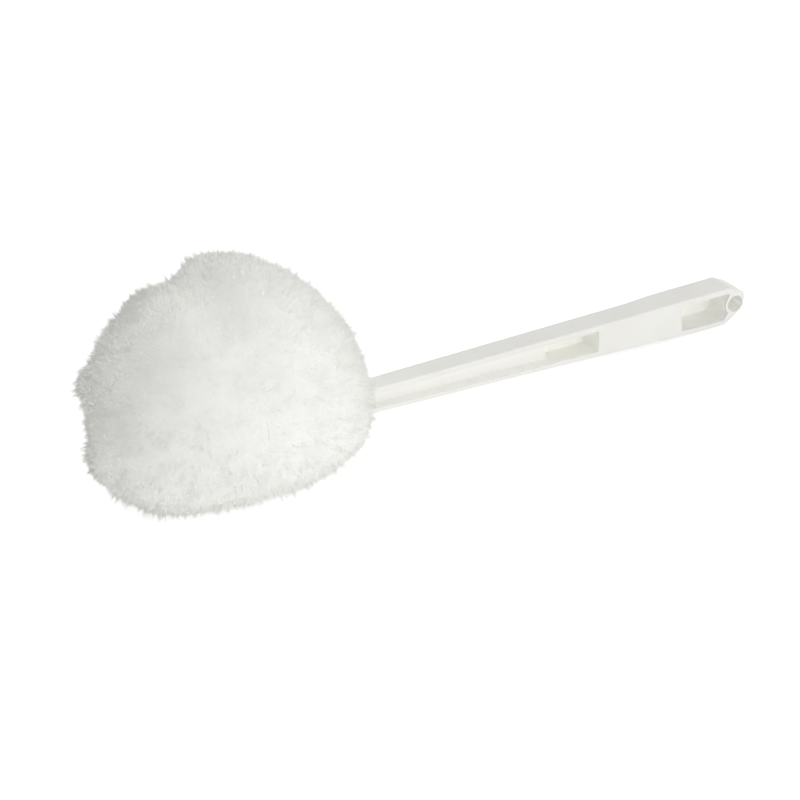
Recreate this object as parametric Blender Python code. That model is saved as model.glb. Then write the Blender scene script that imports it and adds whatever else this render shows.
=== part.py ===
"""Toilet bowl swab: a moulded plastic handle and a round head of fibre tufts, tied to the handle's stem.

Lengths are in metres, and the swab is modelled as it lies on a table. The swab's own frame is level: the
table is at z = 0, X points from the head to the hanging end, and Y points across the handle. The pieces are
built in a second frame, on the handle's axis: X runs along the handle from 0 at the hang hole, so the head
lies at negative X, and Z points out of the handle's upper face. That frame is tipped until both the head and
the handle's end touch the table.
"""
import math

import bmesh
import bpy
from mathutils import Vector

# Clearance between pieces that touch
GAP = 0.0003

# Handle's outside, with places counted from the hang hole towards the head
STEM_LENGTH = 0.237
END_WIDTH = 0.01375
END_HEIGHT = 0.01695
STEM_WIDTH = 0.0092
STEM_HEIGHT = 0.0091
GRIP_LENGTH = 0.0345
GRIP_RAMP = 0.0155
GRIP_RISE = 0.00045
GRIP_WIDENING = 0.0006
EDGE_ROUND = 0.0005

# Rounded end round the hang hole
HOLE_RADIUS = 0.00375
BOSS_WALL = 0.00125
HOLE_ABOVE_AXIS = 0.0009
UPPER_SLOPE_START = 0.0025
UPPER_SLOPE = math.radians(24)
UPPER_CORNER_RADIUS = 0.0020
LOWER_SLOPE_START = 0.0052
FLOOR_BEFORE_HEEL = 0.0006

# Walls and pockets of the moulding
FLANGE = 0.0023
WEB = 0.0016
PANEL = 0.0013
RIB = 0.0018
SHOULDER_WALL = 0.003
POCKET_TO_HOLE = 0.0034
END_POCKET_LENGTH = 0.0248
GRIP_PANEL_LENGTH = 0.0430
NEAR_POCKET_LENGTH = 0.0236
POCKET_CORNER = 0.0008
POCKET_STEP = 0.0002

# Anchor at the stem's inner end, which the tufts are tied round
NECK_RADIUS = 0.0036
NECK_LENGTH = 0.026
COLLAR_LIP = 0.0022
COLLAR_THICKNESS = 0.0026
COLLAR_CROWN = 0.0016

# Tie: how thick the tufts are where the wire pinches them on the neck, and the wire's turns
PINCHED_TUFTS = 0.0056
WIRE_RADIUS = 0.0006
WIRE_TURNS = 3
WIRE_PITCH = 0.0016

# Head of tufts: its halves, its middle's place from the tie, how deep its underside is pressed flat, and
# how far it spreads low down and draws in high up under its own weight
HEAD_HALF_LENGTH = 0.0546
HEAD_HALF_WIDTH = 0.0560
HEAD_HALF_HEIGHT = 0.0448
HEAD_BEFORE_TIE = 0.0070
HEAD_ABOVE_AXIS = 0.0232
FLAT_DEPTH = 0.0014
SAG = 0.0063

# Tufts, and the valleys between their lobes
TUFTS = 8
FIRST_SEAM = math.radians(18)
FRONT_SEAM_DEPTH = 0.0010
BACK_SEAM_DEPTH = 0.0022
SEAM_SPREAD = 0.0050
SEAM_FADE_RADIUS = 0.020
TOP_WAIST_DEPTH = 0.0052
SIDE_WAIST_DEPTH = 0.0018
WAIST_SPREAD = 0.0081
WAIST_SLIT = 0.0006
CORE_RADIUS = 0.0010
COLUMNS = 6
FRONT_ROWS = 15
BACK_ROWS = 12

# How finely round shapes are faceted, and how sharp an edge still looks smooth
ROUND_SIDES = 24
HOLE_SIDES = 32
BOSS_STEPS = 8
CORNER_STEPS = 3
PLASTIC_EDGE = math.radians(35)
FIBRE_EDGE = math.radians(50)

# Rounds of the searches for points on the head's outside
SETTLING_ROUNDS = 4
HALVING_ROUNDS = 40

# Bulges of the head: angle from the stem's direction, angle round the stem, height and angular spread
BULGES = (
    (math.radians(69), math.radians(62), 0.0063, math.radians(30)),
    (math.radians(158), math.radians(195), 0.0090, math.radians(36)),
    (math.radians(32), math.radians(184), 0.0040, math.radians(36)),
)


def boss_radius():
    return HOLE_RADIUS + BOSS_WALL


def stem_share(x):
    """How far x has come from the shoulder, at 0, to the hang hole, at 1."""
    return 1 + x / STEM_LENGTH


def grip_share(x):
    """How far x has come up the ramp from the plain handle, at 0, to the grip, at 1."""
    return min(max((x + GRIP_LENGTH + GRIP_RAMP) / GRIP_RAMP, 0), 1)


def half_width(x):
    plain = STEM_WIDTH + (END_WIDTH - STEM_WIDTH) * stem_share(x)
    return (plain + GRIP_WIDENING * grip_share(x)) / 2


def plain_half_height(x):
    return (STEM_HEIGHT + (END_HEIGHT - STEM_HEIGHT) * stem_share(x)) / 2


def top(x):
    return plain_half_height(x) + GRIP_RISE * grip_share(x)


def bottom(x):
    return -plain_half_height(x)


def arc(centre, radius, start, end, steps):
    """Points (x, z) on an arc, from the start angle to the end angle."""
    points = []
    for i in range(steps + 1):
        angle = start + (end - start) * i / steps
        points.append((centre[0] + radius * math.cos(angle), centre[1] + radius * math.sin(angle)))
    return points


def new_object(name, mesh, parent):
    thing = bpy.data.objects.new(name, mesh)
    bpy.context.scene.collection.objects.link(thing)
    thing.parent = parent
    return thing


def mesh_from(name, bm):
    bmesh.ops.recalc_face_normals(bm, faces=bm.faces)
    mesh = bpy.data.meshes.new(name)
    bm.to_mesh(mesh)
    bm.free()
    return mesh


def shade(mesh, angle):
    mesh.shade_smooth()
    mesh.set_sharp_from_angle(angle=angle)


def material(name, colour, roughness):
    made = bpy.data.materials.new(name)
    made.use_nodes = True
    shader = made.node_tree.nodes["Principled BSDF"]
    shader.inputs["Base Color"].default_value = (*colour, 1)
    shader.inputs["Roughness"].default_value = roughness
    return made, shader


def nose_outline():
    """The end's outline from the upper face, round the hang hole, to the lower face."""
    hole = (0.0, HOLE_ABOVE_AXIS)
    start = (-UPPER_SLOPE_START, top(-UPPER_SLOPE_START))
    corner_z = start[1] - (boss_radius() + UPPER_SLOPE_START) * math.tan(UPPER_SLOPE)
    turn = math.pi / 2 - UPPER_SLOPE
    back = UPPER_CORNER_RADIUS * math.tan(turn / 2)
    corner_centre = (boss_radius() - UPPER_CORNER_RADIUS, corner_z - back)
    points = [start]
    points += arc(corner_centre, UPPER_CORNER_RADIUS, turn, 0, CORNER_STEPS)
    heel = (-LOWER_SLOPE_START, bottom(-LOWER_SLOPE_START))
    away = math.hypot(heel[0] - hole[0], heel[1] - hole[1])
    towards_heel = math.atan2(heel[1] - hole[1], heel[0] - hole[0])
    tangent = towards_heel + math.acos(boss_radius() / away)
    points += arc(hole, boss_radius(), 0, tangent, BOSS_STEPS)
    points.append(heel)
    return points


def handle_body():
    """The handle's outside as one solid, before its pockets are cut."""
    bm = bmesh.new()
    outline = nose_outline()
    upper = [(x, top(x)) for x in (-STEM_LENGTH, -GRIP_LENGTH - GRIP_RAMP, -GRIP_LENGTH)]
    lower = [(x, bottom(x)) for x in (-GRIP_LENGTH, -GRIP_LENGTH - GRIP_RAMP, -STEM_LENGTH)]
    chain = upper + outline + lower
    sides = []
    for sign in (-1, 1):
        sides.append([bm.verts.new((x, sign * half_width(x), z)) for x, z in chain])
    count = len(chain)
    for i in range(count):
        j = (i + 1) % count
        bm.faces.new((sides[0][i], sides[0][j], sides[1][j], sides[1][i]))
    for side in sides:
        bm.faces.new((side[0], side[1], side[-2], side[-1]))
        bm.faces.new((side[1], side[2], side[-3], side[-2]))
        bm.faces.new(side[2:-2])
    rims = []
    for side in sides:
        for i in range(count - 1):
            rims.append(bm.edges.get((side[i], side[i + 1])))
    bmesh.ops.recalc_face_normals(bm, faces=bm.faces)
    bmesh.ops.bevel(bm, geom=rims, offset=EDGE_ROUND, offset_type="OFFSET", segments=2, profile=0.5,
                    affect="EDGES", clamp_overlap=True)
    return mesh_from("handle", bm)


def pocket_mesh(name, outline, back, side):
    """A cutter with this outline (x, z), from its back, a function of x, out past one side of the handle."""
    outside = END_WIDTH + GRIP_WIDENING
    bm = bmesh.new()
    inner = [bm.verts.new((x, back(x), z)) for x, z in outline]
    outer = [bm.verts.new((x, side * outside, z)) for x, z in outline]
    count = len(outline)
    for i in range(count):
        j = (i + 1) % count
        bm.faces.new((inner[i], inner[j], outer[j], outer[i]))
    bm.faces.new(outer)
    bm.faces.new(inner)
    return mesh_from(name, bm)


def corner(centre, start):
    """A pocket's rounded corner: a quarter turn from the start angle."""
    return arc(centre, POCKET_CORNER, start, start + 0.5 * math.pi, CORNER_STEPS)


def pocket_outline(start, end, step):
    """A pocket with rounded corners from x = start to x = end, a small step in from both flanges."""
    radius = POCKET_CORNER
    floor = [bottom(x) + FLANGE + step + radius for x in (start, end)]
    roof = [top(x) - FLANGE - step - radius for x in (start, end)]
    kinks = [x for x in (-GRIP_LENGTH, -GRIP_LENGTH - GRIP_RAMP) if start + radius < x < end - radius]
    points = corner((start + radius, floor[0]), math.pi)
    points += corner((end - radius, floor[1]), 1.5 * math.pi)
    points += corner((end - radius, roof[1]), 0)
    points += [(x, top(x) - FLANGE - step) for x in kinks]
    points += corner((start + radius, roof[0]), 0.5 * math.pi)
    return points


def end_pocket_outline():
    """The pocket beside the hang hole: the boss round the hole stands in its right end."""
    start = -POCKET_TO_HOLE - END_POCKET_LENGTH
    radius = POCKET_CORNER
    hole = (0.0, HOLE_ABOVE_AXIS)
    reach = math.acos(POCKET_TO_HOLE / boss_radius())
    points = corner((start + radius, bottom(start) + FLANGE + radius), math.pi)
    floor_end = -LOWER_SLOPE_START - FLOOR_BEFORE_HEEL
    points.append((floor_end, bottom(floor_end) + FLANGE))
    points += arc(hole, boss_radius(), math.pi + reach, math.pi - reach, BOSS_STEPS)
    points.append((-POCKET_TO_HOLE, top(-POCKET_TO_HOLE) - FLANGE))
    points += corner((start + radius, top(start) - FLANGE - radius), 0.5 * math.pi)
    return points


def turned(name, profile):
    """A solid turned about the handle's axis from points (x, radius); it starts and ends on the axis."""
    steps = ROUND_SIDES
    bm = bmesh.new()
    rings = []
    for x, radius in profile:
        if radius == 0:
            rings.append([bm.verts.new((x, 0, 0))])
            continue
        angles = [2 * math.pi * i / steps for i in range(steps)]
        rings.append([bm.verts.new((x, radius * math.cos(a), radius * math.sin(a))) for a in angles])
    for first, second in zip(rings, rings[1:]):
        for i in range(steps):
            j = (i + 1) % steps
            corners = [first[i % len(first)], first[j % len(first)]]
            corners += [second[j % len(second)], second[i % len(second)]]
            bm.faces.new(list(dict.fromkeys(corners)))
    return mesh_from(name, bm)


def neck_end():
    return -STEM_LENGTH - NECK_LENGTH


def collar_radius():
    return NECK_RADIUS + COLLAR_LIP


def anchor_profile():
    """The neck and its collar, with the root of the neck sunk in the shoulder's wall."""
    collar_end = neck_end() - COLLAR_THICKNESS
    return [
        (-STEM_LENGTH + SHOULDER_WALL / 2, 0),
        (-STEM_LENGTH + SHOULDER_WALL / 2, NECK_RADIUS),
        (neck_end(), NECK_RADIUS),
        (neck_end(), collar_radius()),
        (collar_end, collar_radius()),
        (collar_end - COLLAR_CROWN, collar_radius() - COLLAR_CROWN),
        (collar_end - COLLAR_CROWN, 0),
    ]


def combine(target, other, operation):
    other.hide_render = True
    other.display_type = "WIRE"
    step = target.modifiers.new(other.name, "BOOLEAN")
    step.operation = operation
    step.solver = "EXACT"
    step.object = other


def make_handle(frame):
    handle = new_object("handle", handle_body(), frame)
    combine(handle, new_object("anchor_tool", turned("anchor_tool", anchor_profile()), frame), "UNION")

    bm = bmesh.new()
    bmesh.ops.create_cone(bm, cap_ends=True, segments=HOLE_SIDES, radius1=HOLE_RADIUS,
                          radius2=HOLE_RADIUS, depth=2 * (END_WIDTH + GRIP_WIDENING))
    hole = new_object("hang_hole_tool", mesh_from("hang_hole_tool", bm), frame)
    hole.rotation_euler = (math.pi / 2, 0, 0)
    hole.location = (0, 0, HOLE_ABOVE_AXIS)
    combine(handle, hole, "DIFFERENCE")

    end_start = -POCKET_TO_HOLE - END_POCKET_LENGTH
    near_end = end_start - GRIP_PANEL_LENGTH
    near_start = near_end - NEAR_POCKET_LENGTH
    channel_start = -STEM_LENGTH + SHOULDER_WALL
    near_channel = pocket_outline(channel_start, near_start + 2 * POCKET_CORNER, 0)
    far_channel = pocket_outline(channel_start, near_start - RIB, 0)
    near_pocket = pocket_outline(near_start, near_end, POCKET_STEP)
    far_pocket = pocket_outline(near_end + RIB, end_start - RIB, POCKET_STEP)
    cuts = (
        ("near_channel_tool", near_channel, lambda x: -WEB / 2, -1),
        ("far_channel_tool", far_channel, lambda x: WEB / 2, 1),
        ("near_pocket_tool", near_pocket, lambda x: half_width(x) - PANEL, -1),
        ("far_pocket_tool", far_pocket, lambda x: PANEL - half_width(x), 1),
        ("end_pocket_tool", end_pocket_outline(), lambda x: half_width(x) - PANEL, -1),
    )
    for name, outline, back, side in cuts:
        combine(handle, new_object(name, pocket_mesh(name, outline, back, side), frame), "DIFFERENCE")

    shade(handle.data, PLASTIC_EDGE)
    plastic, shader = material("white_plastic", colour=(0.86, 0.855, 0.83), roughness=0.38)
    shader.inputs["Subsurface Weight"].default_value = 0.1
    handle.data.materials.append(plastic)
    return handle


def tie_place():
    """The tie sits half way along the neck."""
    return -STEM_LENGTH - NECK_LENGTH / 2


def tie_radius():
    """How far the pinched tufts reach from the axis, under the wire."""
    return NECK_RADIUS + GAP + PINCHED_TUFTS


def head_middle():
    return tie_place() + HEAD_BEFORE_TIE


def lean_angle():
    """How far the handle's axis drops towards its end, with the head and the heel of the end on the table."""
    along = -LOWER_SLOPE_START - head_middle()
    rise = HEAD_ABOVE_AXIS - bottom(-LOWER_SLOPE_START)
    above_table = HEAD_HALF_HEIGHT - FLAT_DEPTH
    return math.asin(above_table / math.hypot(along, rise)) - math.atan2(rise, along)


def hole_above_table():
    """Height of the handle's axis above the table, at the hang hole."""
    lean = lean_angle()
    return -LOWER_SLOPE_START * math.sin(lean) - bottom(-LOWER_SLOPE_START) * math.cos(lean)


def around(angle):
    return Vector((0, math.cos(angle), math.sin(angle)))


def seam_distance(angle, radius):
    """Distance over the surface from this angle round the stem to the nearest seam between two tufts."""
    width = 2 * math.pi / TUFTS
    place = (angle - FIRST_SEAM) % width
    return radius * min(place, width - place)


def levelled(vector, lean):
    """A vector of the handle's own frame, turned into the table's."""
    return Vector((
        vector.x * math.cos(lean) + vector.z * math.sin(lean),
        vector.y,
        vector.z * math.cos(lean) - vector.x * math.sin(lean),
    ))


def pointing(from_stem, angle):
    """The direction at this angle from the stem and this angle round it."""
    return math.cos(from_stem) * Vector((1, 0, 0)) + math.sin(from_stem) * around(angle)


def plain_reach(level, lean):
    """How far the sagging egg shape without lobes reaches from the tie, in a level direction."""
    halves = (HEAD_HALF_LENGTH, HEAD_HALF_WIDTH, HEAD_HALF_HEIGHT)
    from_middle = levelled(Vector((-HEAD_BEFORE_TIE, 0, -HEAD_ABOVE_AXIS)), lean)
    d = Vector([level[i] / halves[i] for i in range(3)])
    o = Vector([from_middle[i] / halves[i] for i in range(3)])
    half_b = d.dot(o)
    length = (-half_b + math.sqrt(half_b * half_b - d.dot(d) * (o.dot(o) - 1))) / d.dot(d)
    height = (from_middle.z + length * level.z) / HEAD_HALF_HEIGHT
    return length - SAG * height * (1 - height * height)


def reach(from_stem, angle, lean):
    """How far the head reaches from the tie, at this angle from the stem and this angle round it."""
    direction = pointing(from_stem, angle)
    level = levelled(direction, lean)
    length = plain_reach(level, lean)
    for bulge_from_stem, bulge_round, height, spread in BULGES:
        apart = direction.angle(pointing(bulge_from_stem, bulge_round))
        length += height * math.exp(-((apart / spread) ** 2))
    radius = length * math.sin(from_stem)
    past_tie = length * math.cos(from_stem)
    side = 1 / (1 + math.exp(-past_tie / WAIST_SPREAD))
    seam = BACK_SEAM_DEPTH + (FRONT_SEAM_DEPTH - BACK_SEAM_DEPTH) * side
    seam *= min(radius / SEAM_FADE_RADIUS, 1)
    length -= seam * math.exp(-((seam_distance(angle, radius) / SEAM_SPREAD) ** 2))
    waist = SIDE_WAIST_DEPTH + (TOP_WAIST_DEPTH - SIDE_WAIST_DEPTH) * max(direction.z, 0) ** 3
    length -= waist * math.exp(-((past_tie / WAIST_SPREAD) ** 2))
    tie_height = hole_above_table() - tie_place() * math.sin(lean)
    if level.z < 0:
        length = min(length, tie_height / -level.z)
    return length


def surface_point(from_stem, angle_at, lean):
    """A point of the head's outside as (x, radius), on the column that lies at angle_at(radius)."""
    length = HEAD_HALF_LENGTH
    for _ in range(SETTLING_ROUNDS):
        length = reach(from_stem, angle_at(length * math.sin(from_stem)), lean)
    return tie_place() + length * math.cos(from_stem), length * math.sin(from_stem)


def tunnel_radius(x):
    return math.hypot(half_width(x), plain_half_height(x)) + GAP


def angle_past(low, high, passed, angle_at, lean):
    """The angle from the stem, from low to high, past which passed(x, radius) holds on the head's outside."""
    for _ in range(HALVING_ROUNDS):
        middle = (low + high) / 2
        if passed(*surface_point(middle, angle_at, lean)):
            high = middle
        else:
            low = middle
    return high


def outside_spans(angle_at, lean):
    """The angles from the stem, and the rows, of the outside before the waist's slit and past it."""
    tie = tie_place()
    mouth = angle_past(0, math.pi / 3, lambda x, radius: radius > tunnel_radius(x), angle_at, lean)
    slit_start = angle_past(0, math.pi, lambda x, radius: x < tie + WAIST_SLIT / 2, angle_at, lean)
    slit_end = angle_past(0, math.pi, lambda x, radius: x < tie - WAIST_SLIT / 2, angle_at, lean)
    core = angle_past(math.pi / 2, math.pi, lambda x, radius: radius < CORE_RADIUS, angle_at, lean)
    return (mouth, slit_start, FRONT_ROWS), (slit_end, core, BACK_ROWS)


def tuft_profile(angle_at, lean):
    """Closed outline (x, radius) of a tuft down one of its columns, which lies at angle_at(radius)."""
    tie = tie_place()
    groove_half = (WIRE_TURNS * WIRE_PITCH) / 2 + WIRE_RADIUS + GAP
    groove_top = tie_radius() + GAP + 2 * WIRE_RADIUS + GAP
    outside = []
    for first, last, rows in outside_spans(angle_at, lean):
        angles = [first + (last - first) * i / rows for i in range(rows + 1)]
        outside.append([surface_point(angle, angle_at, lean) for angle in angles])
    groove = [
        (tie + WAIST_SLIT / 2, groove_top),
        (tie + groove_half, groove_top),
        (tie + groove_half, tie_radius()),
        (tie - groove_half, tie_radius()),
        (tie - groove_half, groove_top),
        (tie - WAIST_SLIT / 2, groove_top),
    ]
    tip = neck_end() - COLLAR_THICKNESS - COLLAR_CROWN
    inside = [
        (tip - GAP, CORE_RADIUS),
        (tip - GAP, collar_radius() - COLLAR_CROWN + GAP),
        (tip - GAP + COLLAR_CROWN, collar_radius() + GAP),
        (neck_end() + GAP, collar_radius() + GAP),
        (neck_end() + GAP, NECK_RADIUS + GAP),
        (-STEM_LENGTH - GAP, NECK_RADIUS + GAP),
        (-STEM_LENGTH - GAP, tunnel_radius(-STEM_LENGTH)),
    ]
    return outside[0] + groove + outside[1] + inside


def make_tuft(index, frame, lean):
    """One tuft: a wedge round the stem, drawn in at the tie and spread into a lobe on either side of it."""
    width = 2 * math.pi / TUFTS
    middle = FIRST_SEAM + (index + 0.5) * width
    bm = bmesh.new()
    columns = []
    for i in range(COLUMNS + 1):
        share = 2 * i / COLUMNS - 1

        def angle_at(radius):
            return middle + share * (width / 2 - math.asin(GAP / 2 / max(radius, CORE_RADIUS)))

        column = []
        for x, radius in tuft_profile(angle_at, lean):
            column.append(bm.verts.new(Vector((x, 0, 0)) + radius * around(angle_at(radius))))
        columns.append(column)
    count = len(columns[0])
    for first, second in zip(columns, columns[1:]):
        for i in range(count):
            j = (i + 1) % count
            bm.faces.new((first[i], first[j], second[j], second[i]))
    bm.faces.new(columns[0])
    bm.faces.new(columns[-1])
    name = f"fibre_tuft_{index + 1}"
    tuft = new_object(name, mesh_from(name, bm), frame)
    shade(tuft.data, FIBRE_EDGE)
    return tuft


def make_wire(frame):
    """The tie: turns of wire laid side by side over the tufts, where they pass over the neck."""
    steps = ROUND_SIDES
    radius = tie_radius() + GAP + WIRE_RADIUS
    curve = bpy.data.curves.new("tying_wire", "CURVE")
    curve.dimensions = "3D"
    curve.bevel_depth = WIRE_RADIUS
    curve.bevel_resolution = 2
    curve.use_fill_caps = True
    spline = curve.splines.new("POLY")
    spline.points.add(WIRE_TURNS * steps)
    for i, point in enumerate(spline.points):
        turn = i / steps
        place = Vector((tie_place() + (turn - WIRE_TURNS / 2) * WIRE_PITCH, 0, 0))
        point.co = (*(place + radius * around(2 * math.pi * turn)), 1)
    wire = new_object("tying_wire", curve, frame)
    steel, shader = material("galvanised_wire", colour=(0.62, 0.62, 0.6), roughness=0.35)
    shader.inputs["Metallic"].default_value = 1.0
    curve.materials.append(steel)
    return wire


def middle_of_underside(things):
    """The middle of the box round these things, seen from above, and its lowest height."""
    bpy.context.view_layer.update()
    graph = bpy.context.evaluated_depsgraph_get()
    points = []
    for thing in things:
        evaluated = thing.evaluated_get(graph)
        mesh = evaluated.to_mesh()
        points += [evaluated.matrix_world @ vertex.co for vertex in mesh.vertices]
        evaluated.to_mesh_clear()
    lows = [min(p[i] for p in points) for i in range(3)]
    highs = [max(p[i] for p in points) for i in range(3)]
    return Vector(((lows[0] + highs[0]) / 2, (lows[1] + highs[1]) / 2, lows[2]))


def main():
    for thing in list(bpy.data.objects):
        bpy.data.objects.remove(thing)
    lean = lean_angle()
    swab_frame = new_object("swab_frame", None, None)
    axis_frame = new_object("axis_frame", None, swab_frame)
    axis_frame.rotation_euler = (0, lean, 0)
    axis_frame.location = (0, 0, hole_above_table())

    pieces = [make_handle(axis_frame)]
    fibre, _ = material("white_fibre", colour=(0.80, 0.80, 0.78), roughness=0.95)
    for index in range(TUFTS):
        tuft = make_tuft(index, axis_frame, lean)
        tuft.data.materials.append(fibre)
        pieces.append(tuft)
    pieces.append(make_wire(axis_frame))
    swab_frame.location = -middle_of_underside(pieces)


main()
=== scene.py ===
"""Looks of the toilet bowl swab: its moulded handle, its head of eight fluffy tufts, and the tie in them.

Lengths are in metres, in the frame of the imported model. Each tuft is a soft core with thousands of thin
fibres on it. The fibres stand in small locks that lean every way and gather towards their tips.
"""
import math

import bpy
import numpy as np
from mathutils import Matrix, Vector


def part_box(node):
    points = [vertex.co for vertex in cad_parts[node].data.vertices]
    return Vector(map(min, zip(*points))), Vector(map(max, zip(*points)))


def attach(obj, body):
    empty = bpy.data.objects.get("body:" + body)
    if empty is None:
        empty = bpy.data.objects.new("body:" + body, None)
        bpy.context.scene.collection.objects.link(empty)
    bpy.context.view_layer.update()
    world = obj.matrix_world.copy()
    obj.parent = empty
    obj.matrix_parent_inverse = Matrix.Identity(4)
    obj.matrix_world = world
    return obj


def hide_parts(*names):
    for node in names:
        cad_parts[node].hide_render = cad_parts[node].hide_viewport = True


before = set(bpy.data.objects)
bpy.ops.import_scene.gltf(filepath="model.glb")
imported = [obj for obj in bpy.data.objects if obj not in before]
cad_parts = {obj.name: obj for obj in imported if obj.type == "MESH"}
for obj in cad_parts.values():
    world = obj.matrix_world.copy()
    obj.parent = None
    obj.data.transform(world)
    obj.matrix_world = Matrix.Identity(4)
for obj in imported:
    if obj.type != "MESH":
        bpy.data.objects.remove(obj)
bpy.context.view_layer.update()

SEED = 7
TUFTS = 8

# Camera, set to the photograph's view
CAMERA_PLACE = (-0.39038, -0.70274, 0.45446)
CAMERA_TURN = (math.radians(60.813), math.radians(3.101), math.radians(-29.702))
LENS = 100
SENSOR = 36

# Light: the world's strength on the object, how much it grows to the right, to the back and upwards, and
# soft lamps: place, what it points at, size and power
WORLD = 0.46
WORLD_TO = (0.15, 0.11, 0.06)
KEY = ((0.58, -1.0, 0.36), (0, 0, 0.03), 1.0, 1.8)
FILL = ((-0.18, -1.05, 0.40), (0, 0, 0.03), 1.2, 5.1)
TOP = ((0.15, 0.35, 1.5), (0, 0, 0.03), 2.4, 6.9)

# The floor: its size and grey, its glow as the camera sees it, and the little light that it gives
FLOOR_SIZE = 6
FLOOR_GREY = 0.97
FLOOR_GLOW = 0.41
FLOOR_LIGHT = 0.10

# The handle drops towards its end. Its own ways: along it to the hang hole, and up.
HANDLE_LEAN = math.radians(2.856)
HANDLE_WAY = np.array((math.cos(HANDLE_LEAN), 0, -math.sin(HANDLE_LEAN)))
HANDLE_UP = np.array((math.sin(HANDLE_LEAN), 0, math.cos(HANDLE_LEAN)))

# The middle of the tie, from which the tufts spread, and the head's outside: faces at least this far from
# it that face away from it
wire_low, wire_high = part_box("tying_wire")
TIE = np.array((wire_low + wire_high) / 2)
OUTSIDE_FROM_TIE = 0.017
OUTSIDE_FACING = 0.3

# The valleys between the tufts as the solids have them, and how much of each the fluff fills. One seam
# stays deeper behind, and the waist stays deeper at the top, as in the photograph.
FIRST_SEAM = math.radians(18)
FRONT_SEAM_DEPTH = 0.0010
BACK_SEAM_DEPTH = 0.0022
SEAM_SPREAD = 0.0050
SEAM_FADE_RADIUS = 0.020
TOP_WAIST_DEPTH = 0.0052
SIDE_WAIST_DEPTH = 0.0018
WAIST_SPREAD = 0.0081
FILLED = 0.85
KEPT_SEAM = math.radians(108)
KEPT_SEAM_WIDTH = math.radians(18)
SEAM_KEPT = 0.15
WAIST_KEPT = 0.9

# How far under the solids' outside the fluff begins, and places where it stands out further, or draws in
# where the height is negative: middle, height, size. Its shading follows only a share of those heights.
SINK = 0.0014
PROUD_SHADING = 0.3
PROUD_PLACES = (
    ((-0.0900, 0.0230, 0.0880), 0.0022, 0.006),
    ((-0.0848, 0.0350, 0.0805), 0.0016, 0.006),
    ((-0.0950, 0.0440, 0.0715), -0.0032, 0.008),
    ((-0.1065, 0.0240, 0.0825), -0.0042, 0.008),
    ((-0.1157, 0.0280, 0.0765), 0.0014, 0.007),
    ((-0.1405, 0.0285, 0.0452), 0.0046, 0.006),
    ((-0.1292, 0.0344, 0.0600), 0.0010, 0.006),
    ((-0.1493, 0.0105, 0.0319), -0.0036, 0.007),
    ((-0.1515, -0.0050, 0.0255), 0.0034, 0.009),
    ((-0.1030, -0.0350, 0.0085), -0.0014, 0.015),
    ((-0.0890, -0.0330, 0.0060), -0.0038, 0.013),
    ((-0.0690, -0.0410, 0.0140), -0.0016, 0.009),
    ((-0.0575, -0.0400, 0.0240), 0.0018, 0.010),
    ((-0.0610, 0.0170, 0.0800), -0.0012, 0.008),
    ((-0.0508, -0.0215, 0.0680), 0.0014, 0.010),
    ((-0.0435, -0.0240, 0.0485), -0.0020, 0.009),
)

# Places where a few locks stand far out, as on the photograph's outline: middle, more length, size. Locks
# close to one stand up straighter by this share.
STRAY_PLACES = (
    ((-0.1400, 0.0310, 0.0460), 0.0026, 0.0040),
    ((-0.1438, 0.0118, 0.0250), 0.0020, 0.0030),
    ((-0.0841, 0.0149, 0.0900), 0.0022, 0.0030),
    ((-0.0930, 0.0200, 0.0890), 0.0020, 0.0025),
    ((-0.1157, 0.0349, 0.0719), 0.0018, 0.0025),
    ((-0.1296, -0.0119, 0.0047), 0.0014, 0.0025),
    ((-0.0648, -0.0458, 0.0223), 0.0014, 0.0022),
)
STRAY_UPRIGHT = 0.7

# Three kinds of fibre: a short dense undercoat, fine locks in it, and pointed locks that stand out of it.
# Each has its fibres per square metre and per lock, their width, how deep their roots lie and how far they
# spread, how much they gather, how a lock may lean, its length, how loosely its fibres lie, and whether it
# grows longer at the stray places.
KINDS = {
    "undercoat": {
        "per_area": 15e6, "per_lock": 8, "width": 0.00011, "root_depth": 0.0006, "spread": 0.00025,
        "gathering": 0.5, "least_lean": math.radians(35), "most_lean": math.radians(75),
        "shortest": 0.0003, "usual": 0.0009, "longest": 0.0020, "looseness": 0.30, "strays": 0,
    },
    "nap": {
        "per_area": 16e6, "per_lock": 7, "width": 0.00010, "root_depth": 0.0009, "spread": 0.00026,
        "gathering": 0.7, "least_lean": math.radians(12), "most_lean": math.radians(60),
        "shortest": 0.0006, "usual": 0.0013, "longest": 0.0030, "looseness": 0.16, "strays": 0,
    },
    "locks": {
        "per_area": 4.2e6, "per_lock": 20, "width": 0.00011, "root_depth": 0.0010, "spread": 0.00042,
        "gathering": 0.9, "least_lean": math.radians(4), "most_lean": math.radians(58),
        "shortest": 0.0008, "usual": 0.0023, "longest": 0.0055, "looseness": 0.07, "strays": 1,
    },
}

# The share of a lock's lean that its neighbours have too, how uneven the lengths are from place to place,
# within limits, and the shape of their spread: the higher, the more alike
SWIRL_SHARE = 0.4
UNEVENNESS = 0.6
UNEVEN_LIMITS = (0.3, 2.0)
LENGTH_SHAPE = 2.0

# A single fibre: its share of the lock's length, the least lean, the least it rises, how far its strip
# turns about its length, the share of its tint that the whole lock has, and its least height over the
# floor
REACH = (0.6, 1.0)
LEAST_FIBRE_LEAN = math.radians(12)
LEAST_RISE = 0.05
STRIP_TURN = 0.15
LOCK_SHADE = 0.2
FLOOR_GAP = 0.0002

# How much of the light on its front a fibre shows from behind, and how much less of it, as painted shade,
# where the head faces to the right, to the back and upwards
BEHIND = 0.85
BEHIND_PAINTED_SHADE = (-0.01, 0.04, 0.04)

# The head's shading: how far its normals are smoothed, their share in a fibre's own normal, and the share
# of slow waves in them
NORMAL_SPREAD = 0.0040
NORMAL_SHARE = 0.97
BILLOW_SHARE = 0.05

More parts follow.
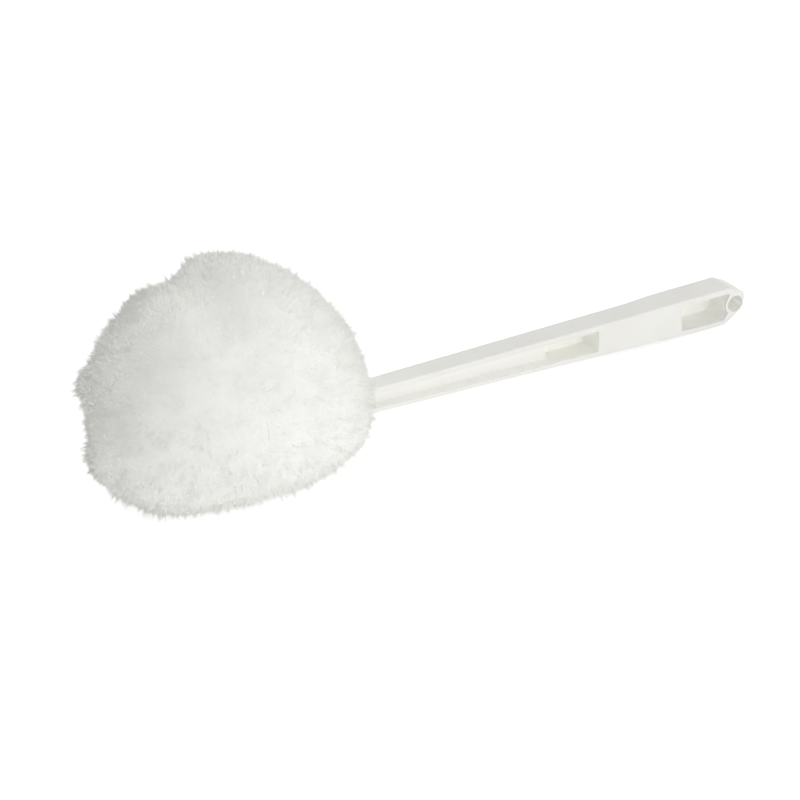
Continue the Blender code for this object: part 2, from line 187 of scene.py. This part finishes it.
# Slow noise, each with its size and its number of waves, and how far a wave's frequency may differ
SWIRL_NOISE = (0.035, 12)
LUMP_NOISE = (0.009, 24)
FINE_LUMP_NOISE = (0.005, 24)
BILLOW_NOISE = (0.018, 16)
WAVE_RANGE = (0.6, 1.4)

# The soft core under the fibres: its depth under where they begin, its lumps, over what length its outside
# takes on the fluff's shape, how far its sides and the faces of its waist, which face along the handle,
# move towards their neighbours, and how long a smoothed normal has to be to count, as it is 0 long where
# there is none
CORE_DEPTH = 0.0004
CORE_RELIEF = 0.0001
CORE_FADE = 0.006
CORE_SIDES = 0.00016
CORE_WAIST = 0.00032
WAIST_FACING = 0.5
SMOOTHED_FROM = 0.5

# Corners closer than this are one, and their places are compared in hundredths of a millimetre
CORE_WELD = 0.00002
NODE_WELD = 0.00001
KEYS_PER_METRE = 1e5

# The handle's hang hole: its middle, how far that lies above the handle's axis, and a bit more than its
# radius. The walls inside the handle, which get painted light: where the pockets begin and end along it
# from the hole, the inner room's half width and half height at the hole and their growth along it, and how
# squarely a channel's wall has to face up to count as its floor, which gets more painted light.
HANG_HOLE = (0.147949, 0.000065, 0.009018)
HOLE_ABOVE_AXIS = 0.0009
HOLE_WALL = 0.0043
POCKETS_FROM = -0.0949
POCKETS_TO = -0.0034
INNER_HALF_WIDTH = (0.0065, 0.0100)
INNER_HALF_HEIGHT = (0.0064, 0.0163)
CHANNEL_FLOOR_FACING = 0.5

# The handle's colours: its outside, from and to. Then painted light on the walls inside it, lighter than
# the
# outside: the walls of its channels, their floors, which face up, and its pockets, lightest and warmest
OUTSIDE_COLOURS = ((0.803, 0.799, 0.762), (0.828, 0.824, 0.792))
CHANNEL_PAINTED_LIGHT_COLOUR = (0.88, 0.875, 0.845)
CHANNEL_FLOOR_PAINTED_LIGHT_COLOUR = (0.99, 0.985, 0.94)
POCKET_PAINTED_LIGHT_COLOUR = (1.0, 0.995, 0.945)

# The fibre's colours, from and to: from fibre to fibre, from root to tip, which is painted shade that
# darkens the roots deep in the fluff, and its mottling. Then the core's and the wire's.
FIBRE_COLOURS = ((0.90, 0.90, 0.865), (0.98, 0.98, 0.945))
ROOT_SHADE_TO_TIP = ((0.97, 0.97, 0.96), (1, 1, 1))
MOTTLING = ((0.975, 0.975, 0.97), (1, 1, 1))
CORE_COLOURS = ((0.90, 0.902, 0.88), (0.97, 0.97, 0.95))
WIRE_COLOURS = ((0.52, 0.52, 0.51), (0.70, 0.70, 0.69))

# The values between which a colour or roughness goes from one end to the other: of noise, softly or more
# sharply, and of a fibre's tint
SOFT_BAND = (0.3, 0.7)
SHARP_BAND = (0.35, 0.65)
TINT_BAND = (0.1, 0.9)

# The rounding of the handle's edges, and how sharp an edge has to be to get it
HANDLE_ROUNDING = 0.00025
SHARP_EDGE = math.radians(35)


def ramp(low, high, values):
    """Values from low to high as 0 to 1, smoothly."""
    share = np.clip((values - low) / (high - low), 0, 1)
    return share * share * (3 - 2 * share)


def unit(vectors):
    """The vectors at length 1."""
    return vectors / np.maximum(np.linalg.norm(vectors, axis=1, keepdims=True), 1e-12)


def dots(first, second):
    """The dot product of each pair of vectors, as a column."""
    return np.sum(first * second, axis=1, keepdims=True)


def tangent(vectors, normals):
    """What is left of the vectors along the surface with these normals."""
    return vectors - dots(vectors, normals) * normals


class SlowNoise:
    """Smooth noise in space: a sum of waves of about one size, in random directions."""

    def __init__(self, size, waves, rng):
        directions = unit(rng.normal(size=(waves, 3)))
        self.waves = directions * (2 * math.pi / size) * rng.uniform(*WAVE_RANGE, (waves, 1))
        self.phases = rng.uniform(0, 2 * math.pi, waves)
        self.scale = math.sqrt(2 / waves)

    def __call__(self, points):
        return self.scale * np.sin(points @ self.waves.T + self.phases).sum(axis=1)


noise_rng = np.random.default_rng(SEED)
SWIRL = [SlowNoise(*SWIRL_NOISE, noise_rng) for _ in range(3)]
LUMPS = SlowNoise(*LUMP_NOISE, noise_rng)
FINE_LUMPS = SlowNoise(*FINE_LUMP_NOISE, noise_rng)
BILLOWS = [SlowNoise(*BILLOW_NOISE, noise_rng) for _ in range(3)]


def fluff_rise(points, proud=1.0):
    """How far the fluff's surface lies outside the solids' there, along the way from the tie.

    proud is the share of the heights of PROUD_PLACES that counts.
    """
    away = points - TIE
    along = away[:, 0] * math.cos(HANDLE_LEAN) - away[:, 2] * math.sin(HANDLE_LEAN)
    up = away[:, 0] * math.sin(HANDLE_LEAN) + away[:, 2] * math.cos(HANDLE_LEAN)
    radius = np.hypot(away[:, 1], up)
    angle = np.arctan2(up, away[:, 1])
    width = 2 * math.pi / TUFTS
    place = (angle - FIRST_SEAM) % width
    seam_distance = radius * np.minimum(place, width - place)
    front = 1 / (1 + np.exp(-along / WAIST_SPREAD))
    seam = BACK_SEAM_DEPTH + (FRONT_SEAM_DEPTH - BACK_SEAM_DEPTH) * front
    seam = seam * np.minimum(radius / SEAM_FADE_RADIUS, 1)
    kept = SEAM_KEPT * np.exp(-(((angle - KEPT_SEAM) / KEPT_SEAM_WIDTH) ** 2)) * (1 - front)
    rise = (FILLED - kept) * seam * np.exp(-((seam_distance / SEAM_SPREAD) ** 2))
    top = np.maximum(up / np.linalg.norm(away, axis=1), 0) ** 3
    waist = SIDE_WAIST_DEPTH + (TOP_WAIST_DEPTH - SIDE_WAIST_DEPTH) * top
    rise += (FILLED - WAIST_KEPT * top) * waist * np.exp(-((along / WAIST_SPREAD) ** 2))
    for middle, height, size in PROUD_PLACES:
        apart = np.linalg.norm(points - np.array(middle), axis=1)
        rise += proud * height * np.exp(-((apart / size) ** 2))
    return (rise - SINK)[:, None]


def place_keys(points):
    """A key for each place, by which corners at the same place find each other."""
    return [tuple(key) for key in np.round(points * KEYS_PER_METRE).astype(int)]


class Tuft:
    """A tuft's corners and faces, and the fluff's surface over those that are the head's outside."""

    def __init__(self, number):
        self.number = number
        self.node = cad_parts[f"fibre_tuft_{number}"]
        mesh = self.node.data
        points = np.empty(len(mesh.vertices) * 3)
        mesh.vertices.foreach_get("co", points)
        self.points = points.reshape(-1, 3)
        self.keys = place_keys(self.points)
        self.faces = np.array([list(polygon.vertices) for polygon in mesh.polygons])
        self.normals = unit(self.crosses(self.points, self.faces))
        away = self.points[self.faces].mean(axis=1) - TIE
        far = np.linalg.norm(away, axis=1) > OUTSIDE_FROM_TIE
        self.outside = far & (dots(self.normals, unit(away))[:, 0] > OUTSIDE_FACING)
        self.cover = self.faces[self.outside]
        outward = unit(self.points - TIE)
        self.raised = self.points + outward * fluff_rise(self.points)
        self.centres = self.raised[self.cover].mean(axis=1)
        self.areas = np.linalg.norm(self.crosses(self.raised, self.cover), axis=1)
        shaded = self.points + outward * fluff_rise(self.points, PROUD_SHADING)
        self.pulls = self.crosses(shaded, self.cover)

    @staticmethod
    def crosses(points, faces):
        """Each face's normal, as long as its area."""
        corners = points[faces]
        return np.cross(corners[:, 1] - corners[:, 0], corners[:, 2] - corners[:, 0]) / 2

    def smooth(self, tufts):
        """Make a normal at each corner of the outside, smoothed over the whole head to hide its seams."""
        centres = np.concatenate([tuft.centres for tuft in tufts])
        pulls = np.concatenate([tuft.pulls for tuft in tufts])
        used = np.unique(self.cover)
        apart = np.linalg.norm(self.raised[used][:, None] - centres[None], axis=2)
        even = unit(np.exp(-((apart / NORMAL_SPREAD) ** 2)) @ pulls)
        billow = np.stack([axis(self.raised[used]) for axis in BILLOWS], axis=1)
        self.smoothed = np.zeros_like(self.points)
        self.smoothed[used] = unit(even + BILLOW_SHARE * billow)
        self.smoothed_at = {self.keys[i]: self.smoothed[i] for i in used}

    def scatter(self, count, rng):
        """This many random places on the fluff's surface: points and normals."""
        chosen = self.cover[rng.choice(len(self.cover), size=count, p=self.areas / self.areas.sum())]
        first = np.sqrt(rng.uniform(size=(count, 1)))
        second = rng.uniform(size=(count, 1))
        shares = np.concatenate([1 - first, first * (1 - second), first * second], axis=1)
        places = np.einsum("ij,ijk->ik", shares, self.points[chosen])
        places += unit(places - TIE) * fluff_rise(places)
        return places, unit(np.einsum("ij,ijk->ik", shares, self.smoothed[chosen]))


def new_piece(name, mesh, material, tuft):
    """A new piece of fibre, which stands for the tuft's solid, on the swab's only body."""
    mesh.materials.append(material)
    piece = bpy.data.objects.new(name, mesh)
    bpy.context.scene.collection.objects.link(piece)
    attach(piece, "root")
    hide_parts(tuft.node.name)
    return piece


def near_strays(points, kind):
    """How much longer locks stand at these points, and how close they are to a stray place, 0 to 1."""
    longer, close = np.zeros((len(points), 1)), np.zeros((len(points), 1))
    for middle, length, size in STRAY_PLACES:
        apart = np.linalg.norm(points - np.array(middle), axis=1, keepdims=True)
        share = np.exp(-((apart / size) ** 2))
        longer += length * share * kind["strays"]
        close = np.maximum(close, share * kind["strays"])
    return longer, close


def place_locks(tuft, kind, count, rng):
    """The locks of one kind on a tuft: their places, normals, ways, lengths and closeness to strays."""
    places, normals = tuft.scatter(count, rng)
    longer, close = near_strays(places, kind)
    swirl = np.stack([axis(places) for axis in SWIRL], axis=1)
    lean_way = unit(tangent(SWIRL_SHARE * swirl + rng.normal(size=(count, 3)), normals))
    lean = rng.uniform(kind["least_lean"], kind["most_lean"], (count, 1)) * (1 - STRAY_UPRIGHT * close)
    ways = normals * np.cos(lean) + lean_way * np.sin(lean)
    uneven = np.clip(1 + UNEVENNESS * LUMPS(places)[:, None], *UNEVEN_LIMITS)
    length = rng.gamma(LENGTH_SHAPE, kind["usual"] / LENGTH_SHAPE, (count, 1))
    length = np.minimum(length * uneven + kind["shortest"], kind["longest"]) + longer
    return places, normals, ways, length, close


def strip_mesh(name, points):
    """A mesh of separate triangles, from three points for each."""
    loops = np.arange(len(points), dtype=np.int32)
    mesh = bpy.data.meshes.new(name)
    mesh.vertices.add(len(points))
    mesh.vertices.foreach_set("co", points.astype(np.float32).ravel())
    mesh.loops.add(len(loops))
    mesh.loops.foreach_set("vertex_index", loops)
    mesh.polygons.add(len(loops) // 3)
    mesh.polygons.foreach_set("loop_start", loops[::3].copy())
    mesh.update(calc_edges=True)
    mesh.validate()
    return mesh


def make_fibres(name, tuft, kind, rng, material):
    """A tuft's fibres of one kind. Each is a thin pointed strip that faces outwards."""
    per_lock = kind["per_lock"]
    locks = round(tuft.areas.sum() * kind["per_area"] / per_lock)
    places, normals, ways, length, close = place_locks(tuft, kind, locks, rng)

    # Each fibre's root and tip
    fibres = locks * per_lock
    lock = np.repeat(np.arange(locks), per_lock)
    n = normals[lock]
    spread = tangent(rng.normal(size=(fibres, 3)), n) * kind["spread"]
    roots = places[lock] + spread - n * kind["root_depth"]
    way = ways[lock] + kind["looseness"] * rng.normal(size=(fibres, 3))
    reach = (kind["root_depth"] + length[lock]) * rng.uniform(*REACH, (fibres, 1))
    way = unit(way * reach - spread * kind["gathering"])
    steepest = math.cos(LEAST_FIBRE_LEAN) + (1 - math.cos(LEAST_FIBRE_LEAN)) * close[lock]
    up = np.clip(dots(way, n), LEAST_RISE, steepest)
    way = unit(tangent(way, n)) * np.sqrt(1 - up * up) + n * up
    tips = roots + way * reach

    # Its strip, which is wide at the root and faces outwards
    side = unit(np.cross(way, n) + STRIP_TURN * rng.normal(size=(fibres, 3)))
    facing = np.cross(side, way)
    facing *= np.where(dots(facing, n) > 0, 1, -1)
    side = np.cross(way, facing) * kind["width"] / 2
    points = np.stack([roots - side, roots + side, tips], axis=1).reshape(-1, 3)
    points[:, 2] = np.maximum(points[:, 2], FLOOR_GAP)
    mesh = strip_mesh(name, points)

    # What its material reads, and its shading, mostly that of the head's surface
    shade = LOCK_SHADE * rng.uniform(size=locks)[lock] + (1 - LOCK_SHADE) * rng.uniform(size=fibres)
    # Painted shade: fibres seen from behind show less light where the head faces to the back and upwards
    behind = BEHIND - n @ np.array(BEHIND_PAINTED_SHADE)
    for label, values in (
        ("fibre_shade", np.repeat(shade, 3)),
        ("fibre_height", np.tile([0, 0, 1], fibres)),
        ("fibre_behind_painted_shade", np.repeat(behind, 3)),
    ):
        layer = mesh.attributes.new(label, "FLOAT", "POINT")
        layer.data.foreach_set("value", values.astype(np.float32))
    mesh.shade_smooth()
    outward = np.repeat(unit(NORMAL_SHARE * n + (1 - NORMAL_SHARE) * facing), 3, axis=0)
    mesh.normals_split_custom_set_from_vertices(outward.astype(np.float32))

    # Real fibre lets light through, so these take none away from the fibre around them
    piece = new_piece(name, mesh, material, tuft)
    piece.visible_shadow = False
    piece.visible_diffuse = False


def vectors_of(collection, label):
    """A vector of each item of a mesh's collection, as rows."""
    values = np.empty(len(collection) * 3)
    collection.foreach_get(label, values)
    return values.reshape(-1, 3)


def core_shift(tuft):
    """How far each corner of a tuft's core moves towards the neighbours, on its sides and its waist."""
    moves = {}
    for number in np.nonzero(~tuft.outside)[0]:
        waist = abs(tuft.normals[number] @ HANDLE_WAY) > WAIST_FACING
        move = (CORE_WAIST if waist else CORE_SIDES) * tuft.normals[number]
        for corner in tuft.faces[number]:
            moves.setdefault(tuft.keys[corner], []).append(move)
    return np.array([np.mean(moves.get(key, [np.zeros(3)]), axis=0) for key in tuft.keys])


def finer_mesh(name, mesh):
    """The mesh with its corners joined and each face split in sixteen."""
    base = bpy.data.objects.new(name, mesh)
    bpy.context.scene.collection.objects.link(base)
    weld = base.modifiers.new("weld", "WELD")
    weld.merge_threshold = CORE_WELD
    finer = base.modifiers.new("finer", "SUBSURF")
    finer.subdivision_type = "SIMPLE"
    finer.levels = 2
    finer.render_levels = 2
    made = bpy.data.meshes.new_from_object(base.evaluated_get(bpy.context.evaluated_depsgraph_get()))
    bpy.data.objects.remove(base)
    return made


def make_core(name, tuft, material):
    """The soft body under the fibres: the tuft's solid under the fluff's surface, with small lumps."""
    mesh = tuft.node.data.copy()
    mesh.name = name
    mesh.materials.clear()
    mesh.vertices.foreach_set("co", (tuft.points + core_shift(tuft)).astype(np.float32).ravel())
    smoothed = np.array([tuft.smoothed_at.get(key, np.zeros(3)) for key in tuft.keys])
    mesh.attributes.new("smoothed", "FLOAT_VECTOR", "POINT").data.foreach_set("vector", smoothed.ravel())
    made = finer_mesh(name, mesh)

    points = vectors_of(made.vertices, "co")
    away = points - TIE
    distance = np.linalg.norm(away, axis=1, keepdims=True)
    rise = fluff_rise(points) - CORE_DEPTH + CORE_RELIEF * FINE_LUMPS(points)[:, None]
    points += unit(away) * rise * ramp(OUTSIDE_FROM_TIE, OUTSIDE_FROM_TIE + CORE_FADE, distance)
    points[:, 2] = np.maximum(points[:, 2], 2 * FLOOR_GAP)
    made.vertices.foreach_set("co", points.astype(np.float32).ravel())
    made.update()
    made.shade_smooth()

    own = vectors_of(made.vertices, "normal")
    smoothed = vectors_of(made.attributes["smoothed"].data, "vector")
    lengths = np.linalg.norm(smoothed, axis=1, keepdims=True)
    normals = np.where(lengths > SMOOTHED_FROM, unit(smoothed), own)
    made.normals_split_custom_set_from_vertices(normals.astype(np.float32))
    new_piece(name, made, material, tuft)


def new_material(name):
    """A new material, its node tree and its main shader."""
    material = bpy.data.materials.new(name)
    material.use_nodes = True
    return material, material.node_tree, material.node_tree.nodes["Principled BSDF"]


def add(tree, kind, **values):
    """A new shader node. Each value goes to the input of that name, or else to the node's setting."""
    node = tree.nodes.new(kind)
    for key, value in values.items():
        if key in node.inputs:
            node.inputs[key].default_value = value
        else:
            setattr(node, key, value)
    return node


def noise(tree, scale, detail=2.0):
    """Noise on the piece's own coordinates, which are metres."""
    place = add(tree, "ShaderNodeTexCoord")
    node = add(tree, "ShaderNodeTexNoise", Scale=scale, Detail=detail)
    tree.links.new(place.outputs["Object"], node.inputs["Vector"])
    return node.outputs["Fac"]


def attribute(tree, name):
    """A number that the mesh carries."""
    return add(tree, "ShaderNodeAttribute", attribute_name=name).outputs["Fac"]


def between(tree, value, band, colours):
    """A colour that goes from one colour to the other as the value goes through the band."""
    node = add(tree, "ShaderNodeValToRGB")
    for end, position, colour in zip(node.color_ramp.elements, band, colours):
        end.position = position
        end.color = (*colour, 1)
    tree.links.new(value, node.inputs["Fac"])
    return node.outputs["Color"]


def scaled(tree, value, band, numbers):
    """A number that goes from one number to the other as the value goes through the band."""
    node = add(tree, "ShaderNodeMapRange")
    for label, number in zip(("From Min", "From Max", "To Min", "To Max"), (*band, *numbers)):
        node.inputs[label].default_value = number
    tree.links.new(value, node.inputs["Value"])
    return node.outputs["Result"]


def times(tree, first, second):
    """The product of two colours."""
    node = add(tree, "ShaderNodeMix", data_type="RGBA", blend_type="MULTIPLY")
    node.inputs["Factor"].default_value = 1.0
    tree.links.new(first, node.inputs[6])
    tree.links.new(second, node.inputs[7])
    return node.outputs[2]


def mixed(tree, share, first, second):
    """first where share is 0, second where it is 1. Each is a plain colour or another node's output."""
    node = add(tree, "ShaderNodeMix", data_type="RGBA")
    tree.links.new(share, node.inputs["Factor"])
    for socket, value in ((node.inputs[6], first), (node.inputs[7], second)):
        if isinstance(value, bpy.types.NodeSocket):
            tree.links.new(value, socket)
        else:
            socket.default_value = (*value, 1)
    return node.outputs[2]


def reckon(tree, operation, first, second):
    """A calculation with two numbers, each of which is a plain number or another node's output."""
    node = add(tree, "ShaderNodeMath", operation=operation)
    for socket, value in zip(node.inputs, (first, second)):
        if isinstance(value, bpy.types.NodeSocket):
            tree.links.new(value, socket)
        else:
            socket.default_value = value
    return node.outputs[0]


def absolute(tree, value):
    """The number without its sign."""
    return reckon(tree, "ABSOLUTE", value, 0.0)


def how_far(tree, vector, way):
    """How far a vector goes this way."""
    node = add(tree, "ShaderNodeVectorMath", operation="DOT_PRODUCT")
    tree.links.new(vector, node.inputs[0])
    node.inputs[1].default_value = way
    return node.outputs["Value"]


def bump(tree, shader, height, strength, distance):
    """Give the shader the relief of this height."""
    node = add(tree, "ShaderNodeBump", Strength=strength, Distance=distance)
    tree.links.new(height, node.inputs["Height"])
    tree.links.new(node.outputs["Normal"], shader.inputs["Normal"])


def fibre_material():
    """White fibre, darker at its roots as painted shade. From behind, a fibre shows the light that falls on
    its front, as a thin fibre does, less of it as painted shade where the head faces to the back and
    upwards.
    """
    material, tree, shader = new_material("white_fibre_fluff")
    own = between(tree, attribute(tree, "fibre_shade"), TINT_BAND, FIBRE_COLOURS)
    # Painted shade: each fibre darker at its root, deep in the fluff
    root_shaded = between(tree, attribute(tree, "fibre_height"), (0, 1), ROOT_SHADE_TO_TIP)
    mottled = between(tree, noise(tree, 1500), SHARP_BAND, MOTTLING)
    colour = times(tree, times(tree, own, root_shaded), mottled)
    tree.links.new(colour, shader.inputs["Base Color"])
    shader.inputs["Roughness"].default_value = 0.9
    shader.inputs["Specular IOR Level"].default_value = 0.1
    seen_through = add(tree, "ShaderNodeBsdfTranslucent")
    # From behind, painted shade by the way the head faces
    tree.links.new(times(tree, colour, attribute(tree, "fibre_behind_painted_shade")), seen_through.inputs["Color"])
    both_sides = add(tree, "ShaderNodeMixShader")
    tree.links.new(add(tree, "ShaderNodeNewGeometry").outputs["Backfacing"], both_sides.inputs[0])
    tree.links.new(shader.outputs[0], both_sides.inputs[1])
    tree.links.new(seen_through.outputs[0], both_sides.inputs[2])
    tree.links.new(both_sides.outputs[0], tree.nodes["Material Output"].inputs["Surface"])
    return material


def core_material():
    """Close fibre, as it shows between the single ones."""
    material, tree, shader = new_material("white_fibre_core")
    colour = between(tree, noise(tree, 1800, 4.0), SOFT_BAND, CORE_COLOURS)
    tree.links.new(colour, shader.inputs["Base Color"])
    shader.inputs["Roughness"].default_value = 0.95
    shader.inputs["Specular IOR Level"].default_value = 0.1
    bump(tree, shader, noise(tree, 1500, 4.0), 0.5, 0.0004)
    return material


def from_hang_hole(tree):
    """The place along, across and up from the handle's hang hole, as three numbers."""
    place = add(tree, "ShaderNodeTexCoord").outputs["Object"]
    return [
        reckon(tree, "SUBTRACT", how_far(tree, place, way), float(np.dot(HANG_HOLE, way)))
        for way in (HANDLE_WAY, (0, 1, 0), HANDLE_UP)
    ]


def painted_light_walls(tree, length, across, up):
    """1 on the walls inside the handle's channels, pockets and hang hole, where light is painted, and 0 on
    its outside.
    """
    from_axis = reckon(tree, "ADD", up, HOLE_ABOVE_AXIS)
    within = []
    for distance, (at_hole, growth) in ((across, INNER_HALF_WIDTH), (from_axis, INNER_HALF_HEIGHT)):
        limit = reckon(tree, "ADD", reckon(tree, "MULTIPLY", length, growth), at_hole)
        within.append(reckon(tree, "LESS_THAN", absolute(tree, distance), limit))
    in_width, in_height = within
    pocket = reckon(tree, "MULTIPLY", reckon(tree, "LESS_THAN", length, POCKETS_TO), in_height)
    length_squared = reckon(tree, "MULTIPLY", length, length)
    squares = reckon(tree, "ADD", length_squared, reckon(tree, "MULTIPLY", up, up))
    hole = reckon(tree, "LESS_THAN", squares, HOLE_WALL**2)
    return reckon(tree, "MULTIPLY", reckon(tree, "MAXIMUM", pocket, hole), in_width)


def plastic_material():
    """White moulded plastic. Its inner walls are painted lighter and warmer, its channels' up-facing floors
    lighter still: painted light for the light that goes to and fro inside it.
    """
    material, tree, shader = new_material("white_plastic_moulded")
    length, across, up = from_hang_hole(tree)
    outside = between(tree, noise(tree, 60, 3.0), SOFT_BAND, OUTSIDE_COLOURS)
    # Painted light: the walls inside are lighter and warmer than the outside, the up-facing channel floors
    # lighter still
    normal = add(tree, "ShaderNodeNewGeometry").outputs["True Normal"]
    floors = reckon(tree, "GREATER_THAN", how_far(tree, normal, HANDLE_UP), CHANNEL_FLOOR_FACING)
    channel = mixed(tree, floors, CHANNEL_PAINTED_LIGHT_COLOUR, CHANNEL_FLOOR_PAINTED_LIGHT_COLOUR)
    inside = mixed(tree, reckon(tree, "GREATER_THAN", length, POCKETS_FROM), channel, POCKET_PAINTED_LIGHT_COLOUR)
    colour = mixed(tree, painted_light_walls(tree, length, across, up), outside, inside)
    tree.links.new(colour, shader.inputs["Base Color"])
    rough = scaled(tree, noise(tree, 350, 4.0), SOFT_BAND, (0.34, 0.46))
    tree.links.new(rough, shader.inputs["Roughness"])
    shader.inputs["Subsurface Weight"].default_value = 0.3
    shader.inputs["Subsurface Radius"].default_value = (1.0, 0.95, 0.85)
    shader.inputs["Subsurface Scale"].default_value = 0.002
    bump(tree, shader, noise(tree, 900, 3.0), 0.12, 0.0002)
    return material


def wire_material():
    """Galvanised wire, with the faint marks of drawing."""
    material, tree, shader = new_material("galvanised_wire_drawn")
    spangle = between(tree, noise(tree, 900), SHARP_BAND, WIRE_COLOURS)
    tree.links.new(spangle, shader.inputs["Base Color"])
    rough = scaled(tree, noise(tree, 500, 3.0), SOFT_BAND, (0.28, 0.5))
    tree.links.new(rough, shader.inputs["Roughness"])
    shader.inputs["Metallic"].default_value = 1.0
    bump(tree, shader, noise(tree, 2500), 0.2, 0.0001)
    return material


def dress_node(name, material, rounding=0):
    """Give a CAD node a new material, and its edges a narrow rounding. Its shape stays."""
    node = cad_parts[name]
    for slot in node.material_slots:
        slot.material = material
    weld = node.modifiers.new("weld", "WELD")
    weld.merge_threshold = NODE_WELD
    if rounding:
        soften = node.modifiers.new("soften", "BEVEL")
        soften.limit_method = "ANGLE"
        soften.angle_limit = SHARP_EDGE
        soften.width = rounding
        soften.segments = 2
        soften.harden_normals = True


def seen_directly(tree):
    """1 where the camera, a reflection or clear plastic shows this, and 0 where it only gives light."""
    path = add(tree, "ShaderNodeLightPath").outputs
    seen = reckon(tree, "MAXIMUM", path["Is Camera Ray"], path["Is Glossy Ray"])
    return reckon(tree, "MAXIMUM", seen, path["Is Transmission Ray"])


def floor_material():
    """A pale floor that looks white to the camera and gives the object only a little light."""
    material, tree, shader = new_material("floor_white")
    shader.inputs["Base Color"].default_value = (FLOOR_GREY, FLOOR_GREY, FLOOR_GREY, 1)
    shader.inputs["Roughness"].default_value = 1.0
    shader.inputs["Specular IOR Level"].default_value = 0.0
    shader.inputs["Emission Color"].default_value = (1, 1, 1, 1)
    glow = scaled(tree, seen_directly(tree), (0, 1), (FLOOR_LIGHT, FLOOR_GLOW))
    tree.links.new(glow, shader.inputs["Emission Strength"])
    return material


def make_floor():
    """The floor, which isn't part of the swab."""
    bpy.ops.mesh.primitive_plane_add(size=FLOOR_SIZE)
    floor = bpy.context.object
    floor.name = "floor"
    floor.data.materials.append(floor_material())


def make_camera():
    """The camera at the photograph's view."""
    data = bpy.data.cameras.new("camera")
    data.lens = LENS
    data.sensor_width = SENSOR
    camera = bpy.data.objects.new("camera", data)
    camera.location = CAMERA_PLACE
    camera.rotation_euler = CAMERA_TURN
    bpy.context.scene.collection.objects.link(camera)
    bpy.context.scene.camera = camera


def make_lamp(name, place, aim, size, power):
    """A round soft lamp. Sampled in one way only, it leaves no bright flecks on the fibres."""
    data = bpy.data.lights.new(name, "AREA")
    data.shape = "DISK"
    data.size = size
    data.energy = power
    data.cycles.use_multiple_importance_sampling = False
    light = bpy.data.objects.new(name, data)
    light.location = place
    light.rotation_euler = (Vector(aim) - Vector(place)).to_track_quat("-Z", "Y").to_euler()
    bpy.context.scene.collection.objects.link(light)


def make_world():
    """A world that looks white, and lights the object a little more from the right, behind and above."""
    world = bpy.data.worlds.new("studio")
    world.use_nodes = True
    tree = world.node_tree
    background = tree.nodes["Background"]
    background.inputs["Color"].default_value = (1, 1, 1, 1)
    place = add(tree, "ShaderNodeTexCoord").outputs["Generated"]
    sky = reckon(tree, "ADD", how_far(tree, place, WORLD_TO), WORLD)
    strength = add(tree, "ShaderNodeMix")
    tree.links.new(seen_directly(tree), strength.inputs["Factor"])
    tree.links.new(sky, strength.inputs["A"])
    strength.inputs["B"].default_value = 1.0
    tree.links.new(strength.outputs["Result"], background.inputs["Strength"])
    bpy.context.scene.world = world


bpy.context.scene.view_settings.view_transform = "Standard"
make_camera()
make_world()
make_lamp("key", *KEY)
make_lamp("fill", *FILL)
make_lamp("top", *TOP)
make_floor()
fluff = fibre_material()
soft = core_material()
tufts = [Tuft(number) for number in range(1, TUFTS + 1)]
for tuft in tufts:
    tuft.smooth(tufts)
    rng = np.random.default_rng(SEED + tuft.number)
    make_core(f"tuft_{tuft.number}_core", tuft, soft)
    for label, kind in KINDS.items():
        make_fibres(f"tuft_{tuft.number}_{label}", tuft, kind, rng, fluff)
dress_node("handle", plastic_material(), HANDLE_ROUNDING)
dress_node("tying_wire", wire_material())
